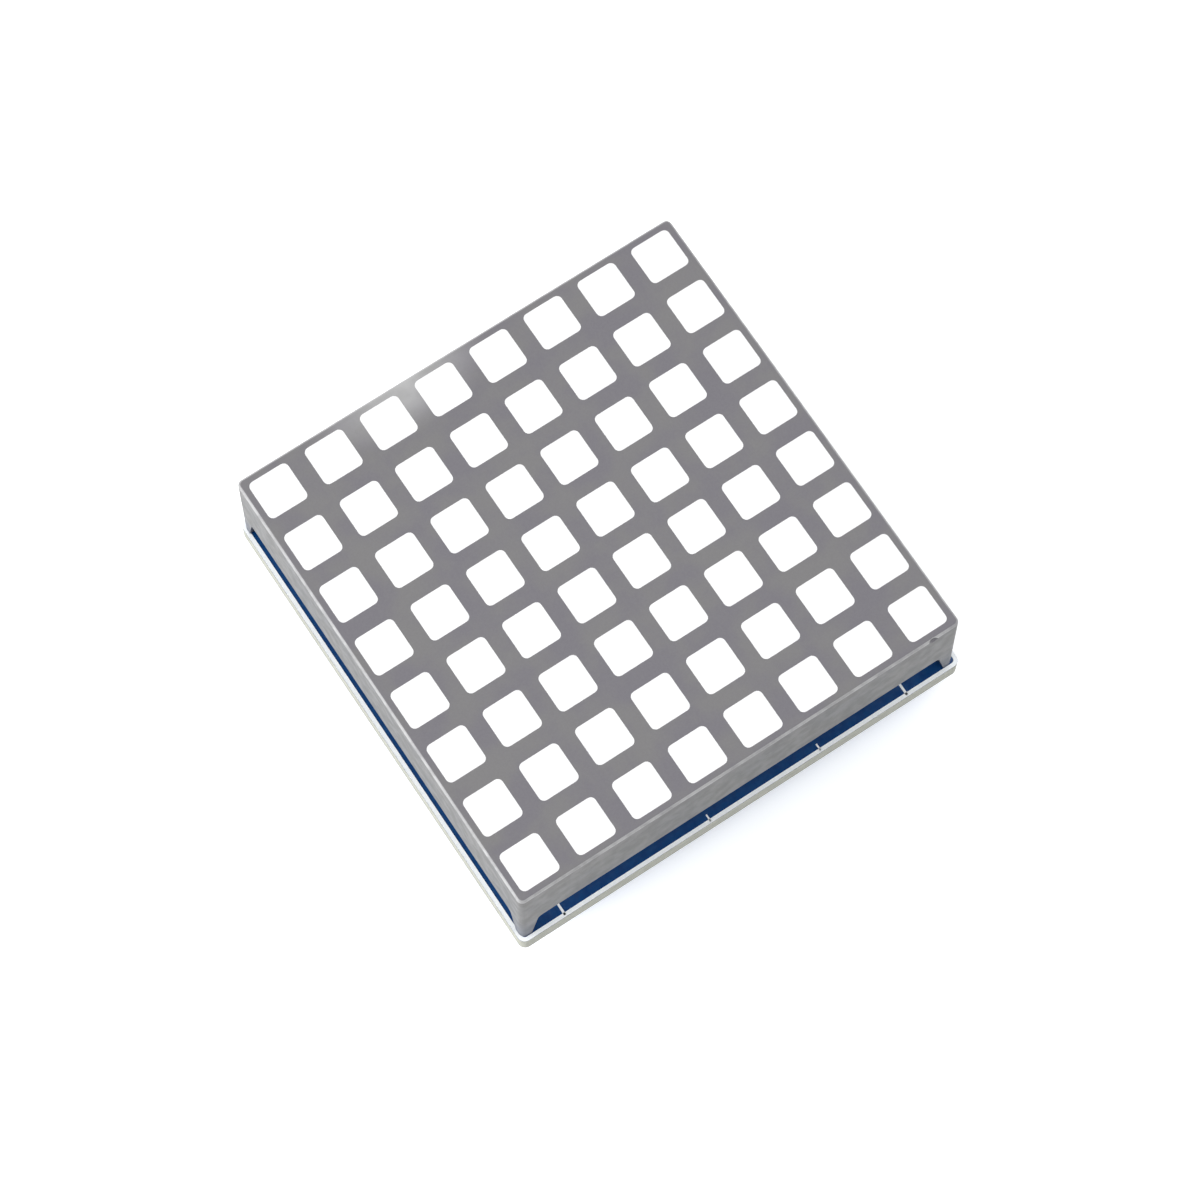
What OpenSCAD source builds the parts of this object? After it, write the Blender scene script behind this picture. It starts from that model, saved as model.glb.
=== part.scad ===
// Square-dot LED matrix, eight by eight, soldered to a driver board of its own size.
// Millimetres. +Z is up, the front edge faces -Y. The origin is under the middle of the driver board,
// in the plane of the pin tips, which is what the module stands on.

/* [Display] */
// Distance between neighbouring dots
dot_pitch = 4.0; // [3.9:0.05:4.1]
// Side of a lit dot at the display face
dot_w = 2.76; // [2.5:0.02:2.9]
// Corner radius of a dot at the display face
dot_r = 0.35; // [0.2:0.05:0.5]
// Side of the housing at the display face
face_w = 31.8; // [31.7:0.1:32]
// Radius of the housing's four upright corners
corner_r = 0.4; // [0.35:0.05:0.6]
// Radius of the rim round the display face
rim_r = 0.2; // [0.1:0.05:0.3]
// How far each side wall leans out from the face to the feet
wall_draft = 0.1; // [0:0.02:0.12]
// Depth of the dot cells, from the face to the chip board
cell_depth = 3.6; // [3.3:0.1:3.8]
// Corner radius of a cell where it meets the chip board
cell_floor_r = 0.05; // [0.02:0.01:0.15]

/* [Chip board and potting] */
// Thickness of the chip board inside the housing
chip_board_t = 1.1; // [0.8:0.1:1.2]
// Depth of potting under the chip board
potting_t = 0.5; // [0.3:0.1:0.7]
// Gap between the chip board and the housing wall, filled by the potting
board_gap = 0.1; // [0.05:0.05:0.2]
// Thickness of the housing wall round the chip board
wall_t = 0.75; // [0.65:0.05:0.75]

/* [Corner feet] */
// Height of the four corner feet under the side walls
foot_h = 2.8; // [2.4:0.1:3.2]
// Width of a foot where it stands on the driver board
foot_tip_w = 0.7; // [0.5:0.05:0.8]
// Width of a foot where it joins the wall
foot_root_w = 1.2; // [0.9:0.05:1.4]
// Radius between a foot and the wall above it
foot_fillet = 0.4; // [0.2:0.05:0.5]

/* [Pins] */
// Diameter of a round pin
pin_d = 0.5; // [0.45:0.05:0.55]
// Distance between neighbouring pins in a row
pin_pitch = 2.54; // [2.54]
// Distance between the two rows of pins
pin_row_gap = 24.0; // [23.5:0.1:24.5]
// Length of pin standing out under the driver board
pin_tail = 2.8; // [2.7:0.1:3.5]

/* [Driver board] */
// Side of the square driver board
board_w = 32.6; // [32.4:0.1:33]
// Thickness of the driver board
board_t = 1.6; // [1.2:0.2:1.6]
// Corner radius of the driver board
board_r = 0.5; // [0.4:0.1:1.2]
// How far the display sits off the middle of the board, towards -X
display_shift = 0.12; // [0:0.02:0.12]
// Diameter of a drilled hole for a display pin
pin_hole_d = 0.8; // [0.7:0.05:0.9]
// Diameter of a drilled hole for the cable header
header_hole_d = 1.0; // [0.9:0.05:1.1]

/* [Hidden] */
ROWS = 8;
COLUMNS = 8;
PINS_PER_ROW = 8;
HEADER_HOLES = 4;
LEADS_PER_SIDE = 14;

EPS = 0.1;                     // overshoot of a cut past the face it opens
SEAM = 0.02;                   // overlap of two cuts that meet
CELL_FN = 16;                  // facets of a full turn at the dot corners
RIM_FN = 24;                   // facets of a full turn at the housing corners
PIN_FN = 32;
ARC_STEPS = 5;

// Levels, from the pin tips up
board_z = pin_tail;
board_top = board_z + board_t;
wall_z = board_top + foot_h;                  // lower edge of the side walls
chip_board_z = wall_z + potting_t;
cell_z = chip_board_z + chip_board_t;         // top of the chip board, floor of the cells
face_z = cell_z + cell_depth;

foot_land = 0.2;               // upright band at the foot of the walls
cell_corner = dot_w / 2 - dot_r;              // axis of a cell's corner cones
cell_flare = (dot_r - cell_floor_r) / cell_depth;
foot_span = face_w + 2 * wall_draft;
pocket_w = face_w - 2 * wall_t;
chip_board_w = pocket_w - 2 * board_gap;

die_w = 0.35;                  // light-emitting chip in each cell
die_h = 0.2;

// Small chip knocked out of the front rim near its right end
nick_x = 13.9;
nick_r = 0.42;
nick_out = 0.24;

pin_tip_chamfer = 0.12;
solder_foot_r = 0.82;          // solder cone at the board
solder_h = 0.9;

header_x = 13.4;               // header row, along the right edge

// Driver circuit: wide 28-lead small-outline package, hung under the board
chip_l = 17.9;
chip_w = 7.5;
chip_h = 2.3;
chip_standoff = 0.12;
chip_band = 0.34;              // flat band round the middle, where the leads come out
chip_draft = 0.12;             // how far top and bottom are drawn in from the band
lead_pitch = 1.27;
lead_w = 0.41;
lead_t = 0.25;
lead_reach = 5.15;             // from the package's middle line to a lead's tip
lead_foot = 0.75;
dimple_r = 0.5;
dimple_depth = 0.1;
dimple_inset = 1.3;

// Chip resistors and capacitors: length, width, height
resistor_size = [2.0, 1.25, 0.5];
bypass_size = [2.0, 1.25, 0.85];
bulk_size = [3.2, 1.6, 1.6];
terminal_l = 0.4;
terminal_proud = 0.03;

resistor_x = 10.8;
resistor_y = 4.0;
capacitor_x = -11.6;
bypass_y = -3.2;
bulk_y = 2.6;

HOUSING_GREY = [0.53, 0.53, 0.55];
MILK_WHITE = [0.97, 0.97, 0.96];
CHIP_BOARD_GREEN = [0.80, 0.78, 0.62];
DIE_AMBER = [0.85, 0.75, 0.45];
POTTING_CLEAR = [0.82, 0.82, 0.80];
TIN = [0.78, 0.79, 0.80];
BOARD_BLUE = [0.07, 0.17, 0.36];
PACKAGE_BLACK = [0.10, 0.10, 0.11];
RESISTOR_BLACK = [0.13, 0.13, 0.14];
CERAMIC_TAN = [0.62, 0.50, 0.38];

// ---------- shared forms ----------

// Square with round corners, flat, centred
module rounded_square(w, r, fn) {
    square([w - 2 * r, w], center = true);
    square([w, w - 2 * r], center = true);
    for (sx = [-1, 1], sy = [-1, 1])
        translate([sx * (w / 2 - r), sy * (w / 2 - r)])
            circle(r = r, $fn = fn);
}

// Puts its children at the display's place on the driver board
module on_display() {
    translate([-display_shift, 0, 0]) children();
}

// Centre of dot number i of n along one axis
function dot_at(i, n) = (i - (n - 1) / 2) * dot_pitch;

// Place of pin n, counted 1 to 8 along the front row and 9 to 16 back along the rear row
function pin_at(n) =
    let (front = n <= PINS_PER_ROW,
         step = front ? n - 1 : 2 * PINS_PER_ROW - n)
    [(step - (PINS_PER_ROW - 1) / 2) * pin_pitch - display_shift,
     (front ? -1 : 1) * pin_row_gap / 2];

module at_each_pin() {
    for (n = [1 : 2 * PINS_PER_ROW])
        translate(pin_at(n)) children();
}

module at_each_header_hole() {
    for (i = [0 : HEADER_HOLES - 1])
        translate([header_x, (i - (HEADER_HOLES - 1) / 2) * pin_pitch])
            children();
}

// One dot cell: a square reflector that flares from the chip board to the face,
// carried on past both by overshoot
module cell_form(overshoot) {
    hull()
        for (sx = [-1, 1], sy = [-1, 1])
            translate([sx * cell_corner, sy * cell_corner, cell_z - overshoot])
                cylinder(r1 = cell_floor_r - cell_flare * overshoot,
                         r2 = dot_r + cell_flare * overshoot,
                         h = cell_depth + 2 * overshoot, $fn = CELL_FN);
}

// ---------- housing ----------

// Rounded top corner of the housing: a disc with its upper edge rolled over
module rim_corner() {
    flat_r = corner_r - rim_r;
    rolled = [for (i = [0 : ARC_STEPS])
        let (a = 90 * i / ARC_STEPS)
        [flat_r + rim_r * cos(a), rim_r * sin(a)]];
    rotate_extrude($fn = RIM_FN)
        polygon(concat([[0, 0]], rolled, [[0, rim_r]]));
}

// Solid block from the feet to the face, with drafted walls, round corners and a rolled rim
module housing_block() {
    hull()
        for (sx = [-1, 1], sy = [-1, 1]) {
            translate([sx * (face_w / 2 - corner_r), sy * (face_w / 2 - corner_r), face_z - rim_r])
                rim_corner();
            translate([sx * (foot_span / 2 - corner_r), sy * (foot_span / 2 - corner_r), board_top])
                cylinder(r = corner_r, h = foot_land, $fn = RIM_FN);
        }
}

// Long opening under one pair of walls, which leaves a foot at each end
module wall_relief() {
    half = foot_span / 2;
    lean = atan((foot_root_w - foot_tip_w) / foot_h);
    f = foot_fillet;
    fillet_x = half - foot_root_w - f;
    right = concat(
        [[half - foot_tip_w + 0.02, board_top - EPS]],
        [for (i = [0 : ARC_STEPS])
            let (a = lean + (90 - lean) * i / ARC_STEPS)
            [fillet_x + f * cos(a), wall_z - f + f * sin(a)]]);
    left = [for (i = [len(right) - 1 : -1 : 0]) [-right[i][0], right[i][1]]];
    rotate([90, 0, 0])
        linear_extrude(height = 2 * foot_span, center = true)
            polygon(concat(right, left));
}

module nick() {
    translate([nick_x, -face_w / 2 - nick_out, face_z - 0.1])
        sphere(r = nick_r, $fn = 20);
}

module housing() {
    color(HOUSING_GREY)
        on_display()
            difference() {
                housing_block();
                for (row = [0 : ROWS - 1], column = [0 : COLUMNS - 1])
                    translate([dot_at(column, COLUMNS), dot_at(row, ROWS), 0])
                        cell_form(EPS);
                translate([-pocket_w / 2, -pocket_w / 2, wall_z - SEAM])
                    cube([pocket_w, pocket_w, cell_z - wall_z + SEAM]);
                wall_relief();
                rotate([0, 0, 90]) wall_relief();
                nick();
            }
}

// ---------- inside the display ----------

// Milky resin in the eight cells of one row, each cast round its own light-emitting chip
module pixel_row(row) {
    color(MILK_WHITE)
        on_display()
            for (column = [0 : COLUMNS - 1])
                translate([dot_at(column, COLUMNS), dot_at(row - 1, ROWS), 0])
                    difference() {
                        cell_form(0);
                        translate([0, 0, cell_z]) die();
                    }
}

module die() {
    translate([-die_w / 2, -die_w / 2, 0]) cube([die_w, die_w, die_h]);
}

module led_dice() {
    color(DIE_AMBER)
        on_display()
            for (row = [0 : ROWS - 1], column = [0 : COLUMNS - 1])
                translate([dot_at(column, COLUMNS), dot_at(row, ROWS), cell_z])
                    die();
}

module chip_board_blank() {
    translate([-chip_board_w / 2, -chip_board_w / 2, chip_board_z])
        cube([chip_board_w, chip_board_w, chip_board_t]);
}

module pin_bores() {
    at_each_pin()
        translate([0, 0, board_z])
            cylinder(d = pin_d, h = face_z - board_z, $fn = PIN_FN);
}

module chip_board() {
    color(CHIP_BOARD_GREEN)
        difference() {
            on_display() chip_board_blank();
            pin_bores();
        }
}

// Resin that closes the housing from below and grips the chip board's edge
module potting() {
    color(POTTING_CLEAR)
        difference() {
            on_display()
                difference() {
                    translate([-pocket_w / 2, -pocket_w / 2, wall_z])
                        cube([pocket_w, pocket_w, potting_t + chip_board_t]);
                    chip_board_blank();
                }
            pin_bores();
        }
}

// ---------- pins ----------

module pin(n) {
    color(TIN)
        translate(pin_at(n)) {
            cylinder(d1 = pin_d - 2 * pin_tip_chamfer, d2 = pin_d, h = pin_tip_chamfer, $fn = PIN_FN);
            translate([0, 0, pin_tip_chamfer])
                cylinder(d = pin_d, h = cell_z - pin_tip_chamfer, $fn = PIN_FN);
        }
}

// Solder that fills a plated hole and runs down the pin in a hollow cone
module solder_joint() {
    cone = [for (i = [0 : ARC_STEPS])
        let (t = i / ARC_STEPS)
        [pin_d / 2 + 0.04 + (solder_foot_r - pin_d / 2 - 0.04) * pow(1 - t, 2), board_z - solder_h * t]];
    rotate_extrude($fn = PIN_FN)
        polygon(concat(
            [[pin_d / 2, board_top], [pin_hole_d / 2, board_top], [pin_hole_d / 2, board_z]],
            cone,
            [[pin_d / 2, board_z - solder_h]]));
}

module pin_solder() {
    color(TIN) at_each_pin() solder_joint();
}

// ---------- driver board ----------

module driver_board() {
    color(BOARD_BLUE)
        translate([0, 0, board_z])
            linear_extrude(height = board_t)
                difference() {
                    rounded_square(board_w, board_r, 64);
                    at_each_pin() circle(d = pin_hole_d, $fn = PIN_FN);
                    at_each_header_hole() circle(d = header_hole_d, $fn = PIN_FN);
                }
}

// Side view of the package across a width w: flat band in the middle, drawn in above and below
module package_profile(w) {
    polygon([
        [-w / 2 + chip_draft, -chip_h / 2], [w / 2 - chip_draft, -chip_h / 2],
        [w / 2, -chip_band / 2], [w / 2, chip_band / 2],
        [w / 2 - chip_draft, chip_h / 2], [-w / 2 + chip_draft, chip_h / 2],
        [-w / 2, chip_band / 2], [-w / 2, -chip_band / 2]
    ]);
}

chip_mid_z = board_z - chip_standoff - chip_h / 2;

module driver_package() {
    color(PACKAGE_BLACK)
        translate([0, 0, chip_mid_z])
            difference() {
                intersection() {
                    rotate([90, 0, 0])
                        linear_extrude(height = chip_w, center = true)
                            package_profile(chip_l);
                    rotate([90, 0, 90])
                        linear_extrude(height = chip_l, center = true)
                            package_profile(chip_w);
                }
                translate([-chip_l / 2 + dimple_inset, chip_w / 2 - dimple_inset, -chip_h / 2 - EPS])
                    cylinder(r = dimple_r, h = dimple_depth + EPS, $fn = 32);
            }
}

// One lead seen from its side, bent from the package's band up to the board
module lead_profile() {
    rise = board_z - chip_mid_z;
    knee = chip_w / 2 + 0.32;
    heel = lead_reach - lead_foot;
    t = lead_t;
    polygon([
        [chip_w / 2, -t / 2], [knee, -t / 2], [knee + 0.17, -t / 2 + 0.12],
        [heel + 0.12, rise - t - 0.1], [heel + 0.24, rise - t],
        [lead_reach, rise - t], [lead_reach, rise],
        [heel + 0.02, rise], [heel - 0.14, rise - 0.12],
        [knee - 0.08, t / 2 + 0.08], [knee - 0.18, t / 2], [chip_w / 2, t / 2]
    ]);
}

module driver_leads() {
    color(TIN)
        for (side = [0, 1], i = [0 : LEADS_PER_SIDE - 1])
            mirror([0, side, 0])
                translate([(i - (LEADS_PER_SIDE - 1) / 2) * lead_pitch, 0, chip_mid_z])
                    rotate([90, 0, 90])
                        linear_extrude(height = lead_w, center = true)
                            lead_profile();
}

// Two-terminal chip part under the board, lying along X
module chip_part(size) {
    translate([0, 0, board_z - size[2] / 2 - terminal_proud]) {
        cube(size, center = true);
        for (side = [-1, 1])
            translate([side * (size[0] - terminal_l) / 2, 0, 0])
                cube([terminal_l, size[1], size[2]] + [1, 1, 1] * 2 * terminal_proud, center = true);
    }
}

module pull_up_resistor(side) {
    color(RESISTOR_BLACK)
        translate([resistor_x, side * resistor_y, 0])
            rotate([0, 0, 90]) chip_part(resistor_size);
}

module bypass_capacitor() {
    color(CERAMIC_TAN)
        translate([capacitor_x, bypass_y, 0])
            rotate([0, 0, 90]) chip_part(bypass_size);
}

module bulk_capacitor() {
    color(CERAMIC_TAN)
        translate([capacitor_x, bulk_y, 0])
            rotate([0, 0, 90]) chip_part(bulk_size);
}

// ---------- nodes ----------

housing();
for (row = [1 : ROWS])
    pixel_row(row);
chip_board();
led_dice();
potting();
for (n = [1 : 2 * PINS_PER_ROW])
    pin(n);
driver_board();
pin_solder();
driver_package();
driver_leads();
pull_up_resistor(-1);  // pull_up_resistor_1
pull_up_resistor(1);  // pull_up_resistor_2
bypass_capacitor();
bulk_capacitor();
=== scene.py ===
import math

import bmesh
import bpy
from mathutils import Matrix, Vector


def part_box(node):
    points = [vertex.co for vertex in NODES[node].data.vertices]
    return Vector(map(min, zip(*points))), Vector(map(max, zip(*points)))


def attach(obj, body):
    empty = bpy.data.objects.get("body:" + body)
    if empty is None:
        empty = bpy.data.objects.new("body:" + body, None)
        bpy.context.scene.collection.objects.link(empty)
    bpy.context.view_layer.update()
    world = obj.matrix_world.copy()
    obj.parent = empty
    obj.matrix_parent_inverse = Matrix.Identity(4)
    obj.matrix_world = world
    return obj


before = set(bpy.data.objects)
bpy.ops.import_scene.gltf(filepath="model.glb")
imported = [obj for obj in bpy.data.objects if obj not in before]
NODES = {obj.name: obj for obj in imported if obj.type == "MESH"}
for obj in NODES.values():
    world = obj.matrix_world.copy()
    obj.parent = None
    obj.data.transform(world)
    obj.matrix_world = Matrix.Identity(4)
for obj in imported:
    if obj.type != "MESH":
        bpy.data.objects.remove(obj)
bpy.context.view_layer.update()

MM = 0.001


# ---------- places in millimetres, most taken from the imported frame and some given ---

def box_mm(node):
    lo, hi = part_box(node)
    return lo / MM, hi / MM


housing_lo, housing_hi = box_mm("housing")
board_lo, board_hi = box_mm("driver_board")
row_lo, row_hi = box_mm("pixel_row_1")
last_row_lo, last_row_hi = box_mm("pixel_row_8")
package_lo, package_hi = box_mm("driver_package")
leads_lo, leads_hi = box_mm("driver_leads")
solder_lo, solder_hi = box_mm("pin_solder")

FACE_Z = housing_hi.z
DISPLAY_X = (housing_lo.x + housing_hi.x) / 2
FOOT_SPAN = housing_hi.x - housing_lo.x
BOARD_TOP = board_hi.z
BOARD_Z = board_lo.z
BOARD_HALF = board_hi.x
BOARD_R = 0.5
DOT_W = row_hi.y - row_lo.y
DOT_PITCH = (row_hi.x - row_lo.x - DOT_W) / 7
FACE_HALF = 3.5 * DOT_PITCH + DOT_W / 2 + 0.52
PINS = [((box_mm("pin_%d" % n)[0].x + box_mm("pin_%d" % n)[1].x) / 2,
         (box_mm("pin_%d" % n)[0].y + box_mm("pin_%d" % n)[1].y) / 2)
        for n in range(1, 17)]
LEAD_PITCH = 1.27
LEAD_X = [(i - 6.5) * LEAD_PITCH for i in range(14)]
LEAD_TIP = leads_hi.y
HEADER_X = 13.4
HEADER_Y = [(i - 1.5) * 2.54 for i in range(4)]


# ---------- mesh helpers ----------

def prism(bm, points, z0, z1):
    """Closed straight-sided solid over a counter-clockwise outline."""
    low = [bm.verts.new((x, y, z0)) for x, y in points]
    high = [bm.verts.new((x, y, z1)) for x, y in points]
    n = len(points)
    bm.faces.new(list(reversed(low)))
    bm.faces.new(high)
    for i in range(n):
        j = (i + 1) % n
        bm.faces.new((low[i], low[j], high[j], high[i]))


def rounded(cx, cy, w, h, r, steps=4):
    """Outline of a rectangle with round corners, counter-clockwise."""
    points = []
    for sx, sy, start in ((1, 1, 0), (-1, 1, 90), (-1, -1, 180), (1, -1, 270)):
        for i in range(steps + 1):
            a = math.radians(start + 90 * i / steps)
            points.append((cx + sx * (w / 2 - r) + r * math.cos(a),
                           cy + sy * (h / 2 - r) + r * math.sin(a)))
    return points


def revolve(bm, cx, cy, profile, n=32):
    """Closed ring of a profile of (radius, z) points turned about an upright axis."""
    loops = []
    for k in range(n):
        a = 2 * math.pi * k / n
        loops.append([bm.verts.new((cx + r * math.cos(a), cy + r * math.sin(a), z))
                      for r, z in profile])
    m = len(profile)
    for k in range(n):
        here, there = loops[k], loops[(k + 1) % n]
        for i in range(m):
            j = (i + 1) % m
            bm.faces.new((here[i], there[i], there[j], here[j]))


def offset_line(points, width, closed):
    """Left and right edges of a line of the given width, mitred at its bends."""
    left, right = [], []
    n = len(points)
    for i, p in enumerate(points):
        p = Vector(p)
        before = Vector(points[i - 1]) if closed or i > 0 else None
        after = Vector(points[(i + 1) % n]) if closed or i < n - 1 else None
        d0 = (p - before).normalized() if before is not None else (after - p).normalized()
        d1 = (after - p).normalized() if after is not None else d0
        n0, n1 = Vector((-d0.y, d0.x)), Vector((-d1.y, d1.x))
        miter = (n0 + n1).normalized()
        reach = width / 2 / max(0.35, miter.dot(n0))
        left.append(p + miter * reach)
        right.append(p - miter * reach)
    return left, right


def ribbon(bm, points, width, z0, z1, closed=False):
    """Thin flat solid laid along a line, as ink or copper is."""
    left, right = offset_line(points, width, closed)
    rings = [[bm.verts.new((r.x, r.y, z0)), bm.verts.new((r.x, r.y, z1)),
              bm.verts.new((l.x, l.y, z1)), bm.verts.new((l.x, l.y, z0))]
             for l, r in zip(left, right)]
    n = len(rings)
    for i in range(n if closed else n - 1):
        a, b = rings[i], rings[(i + 1) % n]
        for k in range(4):
            m = (k + 1) % 4
            bm.faces.new((a[k], b[k], b[m], a[m]))
    if not closed:
        bm.faces.new(rings[0])
        bm.faces.new(list(reversed(rings[-1])))


def add_piece(name, build, finish, smooth=False):
    """Builds one object in millimetres, brings it to metres and lets it ride on the part."""
    bm = bmesh.new()
    build(bm)
    bmesh.ops.scale(bm, vec=(MM, MM, MM), verts=bm.verts)
    bmesh.ops.recalc_face_normals(bm, faces=bm.faces)
    mesh = bpy.data.meshes.new(name)
    bm.to_mesh(mesh)
    bm.free()
    for polygon in mesh.polygons:
        polygon.use_smooth = smooth
    obj = bpy.data.objects.new(name, mesh)
    bpy.context.scene.collection.objects.link(obj)
    mesh.materials.append(finish.material)
    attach(obj, "root")
    return obj


# ---------- material helpers ----------

def srgb(r, g, b):
    """Linear colour of an sRGB colour given in 0 to 255."""
    def one(v):
        v /= 255
        return v / 12.92 if v <= 0.04045 else ((v + 0.055) / 1.055) ** 2.4
    return (one(r), one(g), one(b), 1.0)


class Finish:
    """A Principled material and short calls for the nodes that drive it."""

    def __init__(self, name, **sockets):
        self.material = bpy.data.materials.new(name)
        self.material.use_nodes = True
        self.tree = self.material.node_tree
        self.shader = self.tree.nodes["Principled BSDF"]
        for key, value in sockets.items():
            self.shader.inputs[key.replace("_", " ")].default_value = value
        coordinates = self.tree.nodes.new("ShaderNodeTexCoord")
        scaled = self.tree.nodes.new("ShaderNodeVectorMath")
        scaled.operation = "SCALE"
        scaled.inputs["Scale"].default_value = 1 / MM
        self.link(coordinates.outputs["Object"], scaled.inputs[0])
        self.mm = scaled.outputs[0]
        self._axes = None

    def link(self, out, into):
        self.tree.links.new(out, into)

    def put(self, out, socket):
        self.link(out, self.shader.inputs[socket])

    def stretched(self, x, y, z):
        node = self.tree.nodes.new("ShaderNodeVectorMath")
        node.operation = "MULTIPLY"
        self.link(self.mm, node.inputs[0])
        node.inputs[1].default_value = (x, y, z)
        return node.outputs[0]

    def noise(self, size, detail=3.0, rough=0.55, vector=None):
        """Noise whose lumps are about size millimetres across."""
        node = self.tree.nodes.new("ShaderNodeTexNoise")
        node.inputs["Scale"].default_value = 1 / size
        node.inputs["Detail"].default_value = detail
        node.inputs["Roughness"].default_value = rough
        self.link(vector or self.mm, node.inputs["Vector"])
        return node.outputs["Fac"]

    def cells(self, size, out="Distance"):
        node = self.tree.nodes.new("ShaderNodeTexVoronoi")
        node.inputs["Scale"].default_value = 1 / size
        self.link(self.mm, node.inputs["Vector"])
        return node.outputs[out]

    def math(self, operation, a, b=0.0, clamp=False):
        node = self.tree.nodes.new("ShaderNodeMath")
        node.operation = operation
        node.use_clamp = clamp
        for value, socket in ((a, node.inputs[0]), (b, node.inputs[1])):
            if isinstance(value, (int, float)):
                socket.default_value = value
            else:
                self.link(value, socket)
        return node.outputs[0]

    def axes(self):
        """x, y and z in millimetres."""
        if self._axes is None:
            node = self.tree.nodes.new("ShaderNodeSeparateXYZ")
            self.link(self.mm, node.inputs[0])
            self._axes = node.outputs
        return self._axes

    def facing_up(self):
        """Size of the surface normal's upright part, 1 on a level surface."""
        geometry = self.tree.nodes.new("ShaderNodeNewGeometry")
        node = self.tree.nodes.new("ShaderNodeSeparateXYZ")
        self.link(geometry.outputs["Normal"], node.inputs[0])
        return self.math("ABSOLUTE", node.outputs["Z"])

    def spread(self, value, low, high, to_low=0.0, to_high=1.0):
        """Maps a value from one range to another, smoothly and held at the ends."""
        node = self.tree.nodes.new("ShaderNodeMapRange")
        node.interpolation_type = "SMOOTHSTEP"
        node.inputs["From Min"].default_value = low
        node.inputs["From Max"].default_value = high
        node.inputs["To Min"].default_value = to_low
        node.inputs["To Max"].default_value = to_high
        self.link(value, node.inputs["Value"])
        return node.outputs["Result"]

    def mix(self, amount, a, b, blend="MIX"):
        node = self.tree.nodes.new("ShaderNodeMix")
        node.data_type = "RGBA"
        node.blend_type = blend
        for value, socket in ((amount, node.inputs["Factor"]), (a, node.inputs["A"]), (b, node.inputs["B"])):
            if isinstance(value, (tuple, list)):
                self._colour_socket(node, socket.name).default_value = value
            elif isinstance(value, (int, float)):
                socket.default_value = value
            elif socket.name == "Factor":
                self.link(value, node.inputs[0])
            else:
                self.link(value, self._colour_socket(node, socket.name))
        return [o for o in node.outputs if o.type == "RGBA"][0]

    @staticmethod
    def _colour_socket(node, name):
        return [s for s in node.inputs if s.name == name and s.type == "RGBA"][0]

    def bump(self, height, depth, strength=1.0):
        """Bump of the given depth in millimetres."""
        node = self.tree.nodes.new("ShaderNodeBump")
        node.inputs["Distance"].default_value = depth * MM
        node.inputs["Strength"].default_value = strength
        self.link(height, node.inputs["Height"])
        self.put(node.outputs["Normal"], "Normal")

    def near(self, x, y, rx, ry):
        """1 at a point of the plan, falling to 0 at an ellipse round it."""
        ax = self.axes()
        dx = self.math("DIVIDE", self.math("SUBTRACT", ax["X"], x), rx)
        dy = self.math("DIVIDE", self.math("SUBTRACT", ax["Y"], y), ry)
        d = self.math("SQRT", self.math("ADD", self.math("MULTIPLY", dx, dx), self.math("MULTIPLY", dy, dy)))
        return self.spread(d, 0.0, 1.0, 1.0, 0.0)


def paint(node_names, finish):
    for name in node_names:
        slots = NODES[name].material_slots
        if not slots:
            NODES[name].data.materials.append(finish.material)
        for slot in slots:
            slot.material = finish.material


# ---------- finishes ----------

def housing_finish():
    """Grey moulding: a painted face, darker walls that are partly bare moulding and partly painted shade, a painted
    reflection of the blue board low on the walls, and a painted highlight along the rim.
    """
    f = Finish("housing_grey_paint")
    f.shader.inputs["Specular IOR Level"].default_value = 0.35
    up = f.facing_up()
    z = f.axes()["Z"]
    mottle = f.spread(f.noise(3.2, 3.0, 0.6), 0.35, 0.65)
    face = f.mix(mottle, srgb(110, 109, 110), srgb(105, 103, 109))
    grain = f.spread(f.noise(0.12, 2.0, 0.6), 0.3, 0.7, 0.0, 0.10)
    face = f.mix(grain, face, srgb(132, 132, 134))
    # painted highlight: a pale hazy glare patch by the rear edge of the face
    painted_glare_patch = f.math("MULTIPLY", f.near(-4.4, 15.6, 7.0, 3.4), f.spread(f.noise(1.6), 0.3, 0.7, 0.6, 0.85))
    face = f.mix(painted_glare_patch, face, srgb(172, 172, 172))
    # one pale speck in the paint
    face = f.mix(f.near(SPECK[0], SPECK[1], 0.11, 0.11), face, srgb(215, 215, 215))
    # walls darker than the face: partly the bare moulding, partly painted shade on the upright sides
    wall = f.mix(mottle, srgb(80, 79, 79), srgb(76, 76, 78))
    # painted reflection: the walls tinted blue towards the bottom, where they face the blue board
    painted_board_reflection = f.spread(z, BOARD_TOP, BOARD_TOP + 4.0, 0.35, 0.0)
    wall = f.mix(painted_board_reflection, wall, srgb(58, 74, 104))
    colour = f.mix(f.spread(up, 0.35, 0.6), wall, face)
    # painted highlight: a pale band along the top rim of the walls, made patchy by noise
    painted_rim_highlight = f.math("MULTIPLY", f.spread(up, 0.9, 0.97, 1.0, 0.0), f.spread(z, FACE_Z - 0.24, FACE_Z - 0.18))
    rim_highlight_patches = f.spread(f.noise(0.7, 3.0, 0.6), 0.3, 0.7, 0.55, 1.0)
    colour = f.mix(f.math("MULTIPLY", painted_rim_highlight, rim_highlight_patches), colour, srgb(160, 160, 161))
    f.put(colour, "Base Color")
    f.put(f.spread(f.noise(0.9), 0.3, 0.7, 0.36, 0.46), "Roughness")
    f.bump(f.noise(0.2, 2.0, 0.6), 0.0015, 0.3)
    return f


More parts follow.
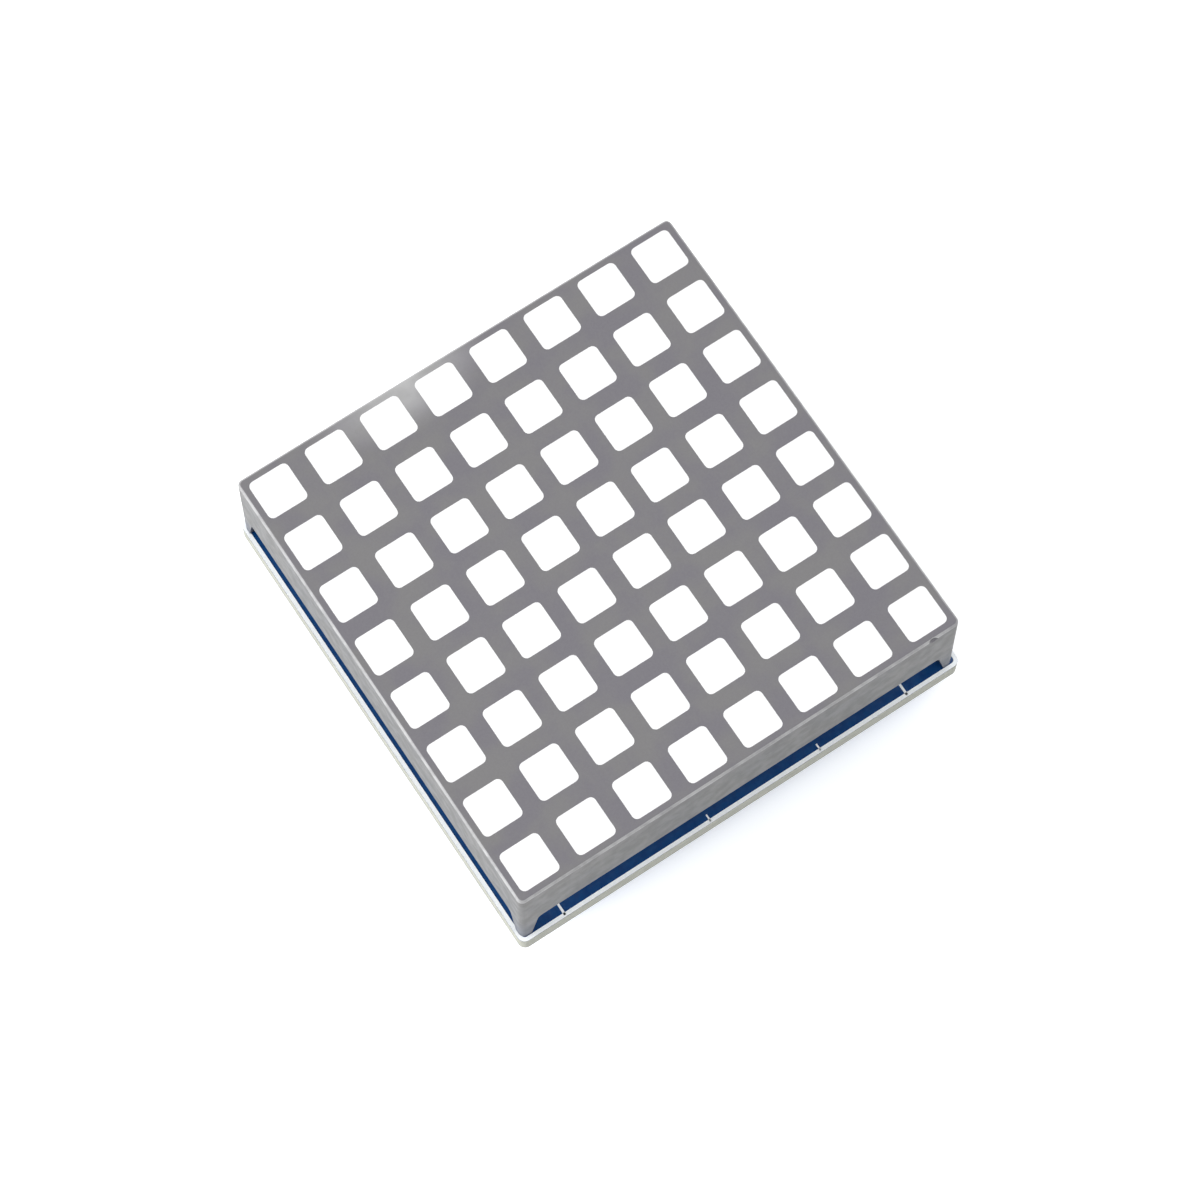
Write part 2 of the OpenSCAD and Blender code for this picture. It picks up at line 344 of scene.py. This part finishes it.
def resin_finish():
    f = Finish("milky_cast_resin", Roughness=0.3)
    f.shader.inputs["Subsurface Weight"].default_value = 0.25
    f.shader.inputs["Subsurface Radius"].default_value = (0.6 * MM, 0.6 * MM, 0.55 * MM)
    f.shader.inputs["Subsurface Scale"].default_value = 1.0
    cloud = f.noise(0.7, 3.0, 0.6)
    f.put(f.mix(f.spread(cloud, 0.3, 0.7), srgb(240, 240, 239), srgb(234, 235, 236)), "Base Color")
    f.put(f.spread(f.noise(1.4), 0.3, 0.7, 0.22, 0.34), "Roughness")
    f.bump(f.noise(0.5, 2.0, 0.5), 0.01, 0.25)
    return f


def board_finish():
    f = Finish("blue_solder_mask", Roughness=0.28)
    level = f.spread(f.facing_up(), 0.45, 0.55)
    weave = f.noise(0.5, 2.0, 0.5, f.stretched(1.0, 1.0, 1.0))
    mask = f.mix(f.spread(weave, 0.3, 0.7), srgb(4, 54, 108), srgb(8, 62, 116))
    layers = f.noise(0.35, 3.0, 0.6, f.stretched(0.35, 0.35, 5.0))
    edge = f.mix(f.spread(layers, 0.3, 0.7), srgb(160, 160, 150), srgb(134, 136, 127))
    fibres = f.noise(0.09, 2.0, 0.7)
    edge = f.mix(f.spread(fibres, 0.55, 0.75, 0.0, 0.5), edge, srgb(190, 190, 180))
    f.put(f.mix(level, edge, mask), "Base Color")
    f.put(f.spread(level, 0.0, 1.0, 0.7, 0.24), "Roughness")
    f.bump(f.noise(0.16, 3.0, 0.6), 0.006, 0.3)
    return f


def laminate_finish():
    f = Finish("bare_laminate", Roughness=0.6)
    weave = f.noise(0.3, 3.0, 0.6)
    f.put(f.mix(f.spread(weave, 0.3, 0.7), srgb(205, 200, 165), srgb(188, 186, 150)), "Base Color")
    f.bump(weave, 0.01, 0.3)
    return f


def die_finish():
    f = Finish("led_chip", Roughness=0.3, Metallic=0.2)
    f.put(f.mix(f.noise(0.1), srgb(225, 190, 90), srgb(200, 160, 70)), "Base Color")
    return f


def potting_finish():
    f = Finish("potting_resin", Roughness=0.22)
    cloud = f.noise(2.4, 4.0, 0.6)
    f.put(f.mix(f.spread(cloud, 0.3, 0.7), srgb(212, 212, 204), srgb(190, 191, 184)), "Base Color")
    f.bump(f.noise(1.8, 2.0, 0.5), 0.05, 0.4)
    return f


def metal_finish(name, bright, dull, size, depth, rough):
    f = Finish(name, Metallic=0.9)
    patches = f.noise(size, 4.0, 0.6)
    f.put(f.mix(f.spread(patches, 0.3, 0.7), bright, dull), "Base Color")
    f.put(f.spread(f.noise(size * 0.6), 0.3, 0.7, rough - 0.08, rough + 0.1), "Roughness")
    f.bump(f.noise(size * 0.5, 3.0, 0.6), depth, 0.4)
    return f


def epoxy_finish():
    f = Finish("black_epoxy", Roughness=0.55)
    grain = f.noise(0.06, 2.0, 0.7)
    f.put(f.mix(f.spread(grain, 0.3, 0.7), srgb(34, 34, 36), srgb(48, 48, 50)), "Base Color")
    f.put(f.spread(f.noise(2.0), 0.3, 0.7, 0.5, 0.65), "Roughness")
    f.bump(grain, 0.008, 0.5)
    return f


def chip_part_finish(name, node, body_a, body_b, flank):
    """Small ceramic part with a tinned cap at each end; its glazed or printed side faces down."""
    f = Finish(name)
    lo, hi = box_mm(node)
    y = f.axes()["Y"]
    from_middle = f.math("ABSOLUTE", f.math("SUBTRACT", y, (lo.y + hi.y) / 2))
    cap = f.spread(from_middle, (hi.y - lo.y) / 2 - 0.42, (hi.y - lo.y) / 2 - 0.38)
    body = f.mix(f.spread(f.noise(0.25), 0.3, 0.7), body_a, body_b)
    body = f.mix(f.spread(f.facing_up(), 0.45, 0.55), flank, body)
    tin = f.mix(f.spread(f.noise(0.2), 0.3, 0.7), srgb(205, 206, 206), srgb(176, 178, 180))
    f.put(f.mix(cap, body, tin), "Base Color")
    f.put(f.math("MULTIPLY", cap, 0.85), "Metallic")
    f.put(f.spread(cap, 0.0, 1.0, 0.45, 0.34), "Roughness")
    f.bump(f.noise(0.15), 0.008, 0.4)
    return f


def ink_finish():
    f = Finish("white_board_ink", Roughness=0.5)
    f.put(f.mix(f.spread(f.noise(0.2), 0.3, 0.7), srgb(250, 252, 253), srgb(240, 245, 249)), "Base Color")
    f.bump(f.noise(0.07), 0.004, 0.4)
    return f


def trace_finish():
    f = Finish("masked_copper", Roughness=0.26)
    f.put(f.mix(f.spread(f.noise(0.8), 0.3, 0.7), srgb(28, 84, 158), srgb(34, 94, 168)), "Base Color")
    f.bump(f.noise(0.2), 0.004, 0.3)
    return f


# ---------- camera, at the photograph's angle ----------

CAMERA_AZ, CAMERA_EL = math.radians(-33.5), math.radians(71.94)
CAMERA_DISTANCE = 250.0
CAMERA_LENS = 123.5
AIM_RIGHT, AIM_UP = 0.23, -2.91

away = Vector((math.sin(CAMERA_AZ) * math.cos(CAMERA_EL),
               -math.cos(CAMERA_AZ) * math.cos(CAMERA_EL), math.sin(CAMERA_EL)))
camera_right = Vector((math.cos(CAMERA_AZ), math.sin(CAMERA_AZ), 0))
camera_up = camera_right.cross(-away)
target = Vector((DISPLAY_X, 0, FACE_Z)) + camera_right * AIM_RIGHT + camera_up * AIM_UP

camera_data = bpy.data.cameras.new("camera")
camera_data.lens = CAMERA_LENS
camera_data.sensor_width = 36.0
camera_data.clip_start, camera_data.clip_end = 0.02, 5.0
camera = bpy.data.objects.new("camera", camera_data)
bpy.context.scene.collection.objects.link(camera)
camera.location = (target + away * CAMERA_DISTANCE) * MM
camera.rotation_mode = "QUATERNION"
camera.rotation_quaternion = (-away).to_track_quat("-Z", "Y")
bpy.context.scene.camera = camera

SPECK = (1.25, 10.0)

housing = housing_finish()
resin = resin_finish()
board = board_finish()
wire = metal_finish("tinned_wire", srgb(214, 214, 212), srgb(186, 187, 188), 0.4, 0.01, 0.3)
solder = metal_finish("solder", srgb(206, 207, 208), srgb(176, 178, 182), 0.5, 0.02, 0.28)
leads = metal_finish("tinned_leads", srgb(200, 201, 202), srgb(172, 174, 176), 0.3, 0.01, 0.34)
ink = ink_finish()
copper = trace_finish()

paint(["housing"], housing)
paint(["pixel_row_%d" % n for n in range(1, 9)], resin)
paint(["chip_board"], laminate_finish())
paint(["led_dice"], die_finish())
paint(["potting"], potting_finish())
paint(["pin_%d" % n for n in range(1, 17)], wire)
paint(["driver_board"], board)
paint(["pin_solder"], solder)
paint(["driver_package"], epoxy_finish())
paint(["driver_leads"], leads)
for name in ("pull_up_resistor_1", "pull_up_resistor_2"):
    paint([name], chip_part_finish("chip_resistor_%s" % name[-1], name, srgb(30, 30, 32), srgb(40, 40, 43),
                                   srgb(222, 220, 214)))
paint(["bypass_capacitor"], chip_part_finish("chip_ceramic_bypass", "bypass_capacitor",
                                             srgb(158, 126, 92), srgb(140, 110, 80), srgb(150, 118, 86)))
paint(["bulk_capacitor"], chip_part_finish("chip_ceramic_bulk", "bulk_capacitor",
                                           srgb(150, 118, 86), srgb(132, 102, 74), srgb(142, 110, 80)))


# ---------- ink, copper and solder on the driver board ----------

INK_T = 0.02
UNDER_INK_T = 0.05
COPPER_T = 0.035
PAD_T = 0.04
BORDER_W = 0.26
BORDER_INSET = 0.01


def disc_points(cx, cy, r, n=20):
    return [(cx + r * math.cos(2 * math.pi * k / n), cy + r * math.sin(2 * math.pi * k / n)) for k in range(n)]


def loft_block(bm, levels):
    """Closed block through upright-stacked rectangles, each (cx, cy, w, h, z)."""
    loops = []
    for cx, cy, w, h, z in levels:
        loops.append([bm.verts.new((cx + sx * w / 2, cy + sy * h / 2, z))
                      for sx, sy in ((-1, -1), (1, -1), (1, 1), (-1, 1))])
    bm.faces.new(loops[0])
    bm.faces.new(list(reversed(loops[-1])))
    for low, high in zip(loops, loops[1:]):
        for i in range(4):
            j = (i + 1) % 4
            bm.faces.new((low[i], low[j], high[j], high[i]))


def wetted(bm, pad, top, height, steps=5):
    """Solder drawn up from a pad to what stands on it: hollow flanks, hanging under the board.
    pad and top are (cx, cy, w, h)."""
    levels = []
    for i in range(steps + 1):
        t = i / steps
        k = (1 - t) ** 2
        levels.append(tuple(b + (a - b) * k for a, b in zip(pad, top)) + (BOARD_Z - PAD_T / 2 - height * t,))
    loft_block(bm, levels)


def top_ink(bm):
    half = BOARD_HALF - BORDER_INSET - BORDER_W / 2
    ring = rounded(0, 0, 2 * half, 2 * half, BOARD_R - BORDER_INSET - BORDER_W / 2, 8)
    ribbon(bm, ring, BORDER_W, BOARD_TOP, BOARD_TOP + INK_T, closed=True)
    for x, reach, width in ((-13.1, 1.5, 0.15), (-2.4, 0.5, 0.1), (5.8, 0.5, 0.1), (12.3, 1.5, 0.15)):
        edge = -BOARD_HALF + BORDER_INSET + 0.1
        ribbon(bm, [(x, edge), (x, edge + reach)], width, BOARD_TOP, BOARD_TOP + INK_T)


# one copper line runs from every picked lead to each pin of the display; the other leads end in vias
PICKED = (0, 2, 4, 5, 7, 9, 11, 13)
JOG_Y = 8.2
VIA_R, VIA_HOLE_R = 0.32, 0.16
ROW_Y = max(y for x, y in PINS)
PIN_X = sorted(x for x, y in PINS if y > 0)
RESISTOR = {1: box_mm("pull_up_resistor_1"), 2: box_mm("pull_up_resistor_2")}
CHIP_PARTS = [box_mm(n) for n in ("pull_up_resistor_1", "pull_up_resistor_2", "bypass_capacitor", "bulk_capacitor")]
BYPASS, BULK = CHIP_PARTS[2], CHIP_PARTS[3]
RESISTOR_X = (CHIP_PARTS[0][0].x + CHIP_PARTS[0][1].x) / 2
CAPACITOR_X = (BYPASS[0].x + BYPASS[1].x) / 2
BUS = 14.9
CUT = 1.0
HOLE_EDGE = 0.6
JUMPER_X = (9.9, 11.4, 12.9)
JUMPER_Y = (-8.35, -9.55)
VIAS = [(LEAD_X[i], s * (6.6 if i % 4 < 2 else 7.4)) for s in (-1, 1) for i in range(14) if i not in PICKED]
VIAS += [(RESISTOR_X, -6.1)] + [(x, -7.1) for x in JUMPER_X]


def under_copper(bm):
    laid = []

    def line(points, width):
        """Each line stands a hair further out than the last, so that no two share a face where they join."""
        laid.append(width)
        ribbon(bm, points, width, BOARD_Z - COPPER_T * (0.6 + 0.4 * len(laid) / 50), BOARD_Z)

    for s in (-1, 1):
        for lead, pin_x in zip(PICKED, PIN_X):
            x = LEAD_X[lead]
            line([(x, s * (LEAD_TIP - 0.3)), (x, s * JOG_Y), (pin_x, s * (JOG_Y + abs(pin_x - x))),
                  (pin_x, s * (ROW_Y - 0.5))], 0.26)
    for x, y in VIAS[:12]:
        line([(x, math.copysign(LEAD_TIP - 0.3, y)), (x, y)], 0.26)
    outer = HEADER_Y[3]
    for s in (-1, 1):
        # signal from a middle header hole under the package, with a pull-up on the way
        line([(HEADER_X - HOLE_EDGE, s * HEADER_Y[2]), (8.0, s * HEADER_Y[2])], 0.26)
        near = 4.0 - 1.0
        line([(RESISTOR_X, s * HEADER_Y[2]), (RESISTOR_X, s * near)], 0.26)
        # supply bus from an end header hole round the board's edge to the capacitors
        turn = BUS - HEADER_X
        line([(HEADER_X + 0.45, s * (outer + 0.45)), (BUS, s * (outer + turn)), (BUS, s * (BUS - CUT)), (BUS - CUT, s * BUS),
              (-BUS + CUT, s * BUS), (-BUS, s * (BUS - CUT)), (-BUS, s * 5.0)], 0.7)
    line([(RESISTOR_X, 5.0), (RESISTOR_X, 6.4), (12.6, 6.4), (HEADER_X, 5.6), (HEADER_X, outer + HOLE_EDGE)], 0.4)
    line([(RESISTOR_X, -5.0), (RESISTOR_X, -6.1)], 0.4)
    line([(-BUS, 5.1), (-BUS + CUT, BULK[1].y), (CAPACITOR_X, BULK[1].y)], 0.7)
    line([(-BUS, -5.1), (-BUS + CUT, BYPASS[0].y), (CAPACITOR_X, BYPASS[0].y)], 0.7)
    line([(-BUS, -5.1), (-BUS, BULK[0].y - 0.8), (-BUS + 0.8, BULK[0].y), (CAPACITOR_X, BULK[0].y)], 0.5)
    line([(CAPACITOR_X, BYPASS[1].y), (CAPACITOR_X + 0.7, BYPASS[1].y + 0.7), (-8.2, BYPASS[1].y + 0.7)], 0.4)
    for x in JUMPER_X:
        line([(x, -7.1), (x, JUMPER_Y[0])], 0.26)
        line([(x, JUMPER_Y[1]), (x, -10.9)], 0.26)
    line([(JUMPER_X[0], -10.9), (BUS, -10.9)], 0.4)


def top_copper(bm):
    """Lines on the board's upper side, seen only through the gap under the walls."""
    for k, (x, y) in enumerate(VIAS[:12]):
        far = math.copysign(13.8 + 0.3 * (k % 3), y)
        ribbon(bm, [(x, y), (x, far - math.copysign(0.8, y)), (x + 0.8, far), (x + 4.0, far)], 0.26,
               BOARD_TOP, BOARD_TOP + COPPER_T)
    for s in (-1, 1):
        ribbon(bm, [(15.2, s * 2.0), (15.2, s * 13.0), (13.0, s * 15.2), (2.0, s * 15.2)], 0.3,
               BOARD_TOP, BOARD_TOP + COPPER_T)


def plated_holes(bm):
    """Tinned barrels of the header holes, with a ring pad on each side."""
    r, barrel, pad = 0.5, 0.47, 0.86
    for y in HEADER_Y:
        revolve(bm, HEADER_X, y, [(barrel, BOARD_Z - PAD_T), (pad, BOARD_Z - PAD_T), (pad, BOARD_Z), (r, BOARD_Z),
                                  (r, BOARD_TOP), (pad, BOARD_TOP), (pad, BOARD_TOP + PAD_T),
                                  (barrel, BOARD_TOP + PAD_T)])


def tinned_pads(bm):
    for x, y in PINS:
        for z0, z1, outer in ((BOARD_Z - PAD_T, BOARD_Z, 0.96), (BOARD_TOP, BOARD_TOP + PAD_T, 0.84)):
            revolve(bm, x, y, [(0.4, z0), (outer, z0), (outer, z1), (0.4, z1)])
    for x, y in VIAS:
        revolve(bm, x, y, [(VIA_HOLE_R, BOARD_Z - PAD_T), (VIA_R, BOARD_Z - PAD_T), (VIA_R, BOARD_Z),
                           (VIA_HOLE_R, BOARD_Z)], 20)
    for s in (-1, 1):
        for x in LEAD_X:
            prism(bm, rounded(x, s * 4.95, 0.6, 1.9, 0.12, 2), BOARD_Z - PAD_T, BOARD_Z)
    for lo, hi in CHIP_PARTS:
        for y in (lo.y, hi.y):
            prism(bm, rounded((lo.x + hi.x) / 2, y, hi.x - lo.x + 0.12, 1.1, 0.12, 2), BOARD_Z - PAD_T, BOARD_Z)
    for x in JUMPER_X:
        for y in JUMPER_Y:
            prism(bm, rounded(x, y, 1.0, 0.9, 0.1, 2), BOARD_Z - PAD_T, BOARD_Z)


def solder_fillets(bm):
    for s in (-1, 1):
        for x in LEAD_X:
            wetted(bm, (x, s * 4.95, 0.56, 1.6), (x, s * 4.8, 0.43, 0.74), 0.2)
    for lo, hi in CHIP_PARTS:
        tall = 0.55 * (hi.z - lo.z)
        middle, width = (lo.x + hi.x) / 2, hi.x - lo.x
        for s, y in ((-1, lo.y), (1, hi.y)):
            wetted(bm, (middle, y, width + 0.08, 0.96), (middle, y - s * 0.16, width + 0.01, 0.36), tall)


def under_ink(bm):
    low, high = BOARD_Z - UNDER_INK_T, BOARD_Z

    def outline(cx, cy, w, h):
        ribbon(bm, [(cx - w / 2, cy - h / 2), (cx + w / 2, cy - h / 2), (cx + w / 2, cy + h / 2),
                    (cx - w / 2, cy + h / 2)], 0.13, low, high, closed=True)

    for s in (-1, 1):
        end = s * (package_hi.x + 0.35)
        ribbon(bm, [(end - s * 0.5, 3.95), (end, 3.95), (end, -3.95), (end - s * 0.5, -3.95)], 0.13, low, high)
    prism(bm, disc_points(package_lo.x - 0.5, 4.9, 0.26), low, high)
    for lo, hi in CHIP_PARTS:
        outline((lo.x + hi.x) / 2, (lo.y + hi.y) / 2, hi.x - lo.x + 0.7, hi.y - lo.y + 1.5)
    outline(HEADER_X, 0, 2.54, 10.16)
    for x in JUMPER_X:
        outline(x, sum(JUMPER_Y) / 2, 1.32, 2.5)
    pin_x, pin_y = PINS[0]
    prism(bm, [(pin_x - 1.3, pin_y), (pin_x - 2.0, pin_y + 0.4), (pin_x - 2.0, pin_y - 0.4)], low, high)


add_piece("border_ink_top", top_ink, ink)
add_piece("outline_ink_under", under_ink, ink)
add_piece("copper_lines_under", under_copper, copper)
add_piece("copper_lines_top", top_copper, copper)
add_piece("plated_header_holes", plated_holes, solder, smooth=False)
add_piece("tinned_pads", tinned_pads, solder)
add_piece("solder_fillets", solder_fillets, solder)


# ---------- floor and light ----------

floor_mesh = bpy.data.meshes.new("floor")
bm = bmesh.new()
bmesh.ops.create_grid(bm, x_segments=1, y_segments=1, size=1.5)
bm.to_mesh(floor_mesh)
bm.free()
floor = bpy.data.objects.new("floor", floor_mesh)
bpy.context.scene.collection.objects.link(floor)
floor_finish = Finish("pale_floor", Roughness=0.9)
floor_finish.put(floor_finish.mix(floor_finish.noise(60.0), srgb(250, 250, 250), srgb(252, 252, 252)), "Base Color")
floor_finish.shader.inputs["Emission Color"].default_value = (0.95, 1.0, 0.99, 1.0)
floor_finish.shader.inputs["Emission Strength"].default_value = 0.3
floor_mesh.materials.append(floor_finish.material)

world = bpy.data.worlds.new("studio")
bpy.context.scene.world = world
world.use_nodes = True
sky = world.node_tree.nodes["Background"]
sky.inputs["Strength"].default_value = 1.22
sky_place = world.node_tree.nodes.new("ShaderNodeTexCoord")
sky_side = world.node_tree.nodes.new("ShaderNodeVectorMath")
sky_side.operation = "DOT_PRODUCT"
sky_side.inputs[1].default_value = (-0.55, -0.83, 0.0)
sky_tone = world.node_tree.nodes.new("ShaderNodeValToRGB")
sky_tone.color_ramp.elements[0].position = 0.35
sky_tone.color_ramp.elements[0].color = (1.0, 1.0, 1.0, 1.0)
sky_tone.color_ramp.elements[1].position = 0.95
sky_tone.color_ramp.elements[1].color = (0.25, 0.25, 0.26, 1.0)
world.node_tree.links.new(sky_place.outputs["Generated"], sky_side.inputs[0])
world.node_tree.links.new(sky_side.outputs["Value"], sky_tone.inputs["Fac"])
world.node_tree.links.new(sky_tone.outputs["Color"], sky.inputs["Color"])


def area_light(name, place, aim, size, power, colour=(1, 1, 1)):
    data = bpy.data.lights.new(name, "AREA")
    data.shape = "RECTANGLE"
    data.size, data.size_y = size
    data.energy = power
    data.color = colour
    obj = bpy.data.objects.new(name, data)
    bpy.context.scene.collection.objects.link(obj)
    obj.location = place
    obj.rotation_mode = "QUATERNION"
    obj.rotation_quaternion = (Vector(aim) - Vector(place)).to_track_quat("-Z", "Y")
    return obj


area_light("left_softbox", (-0.45, 0.08, 0.16), (0, 0, 0.008), (0.4, 0.3), 2.4)

bpy.context.scene.view_settings.view_transform = "Standard"
bpy.context.scene.view_settings.look = "None"
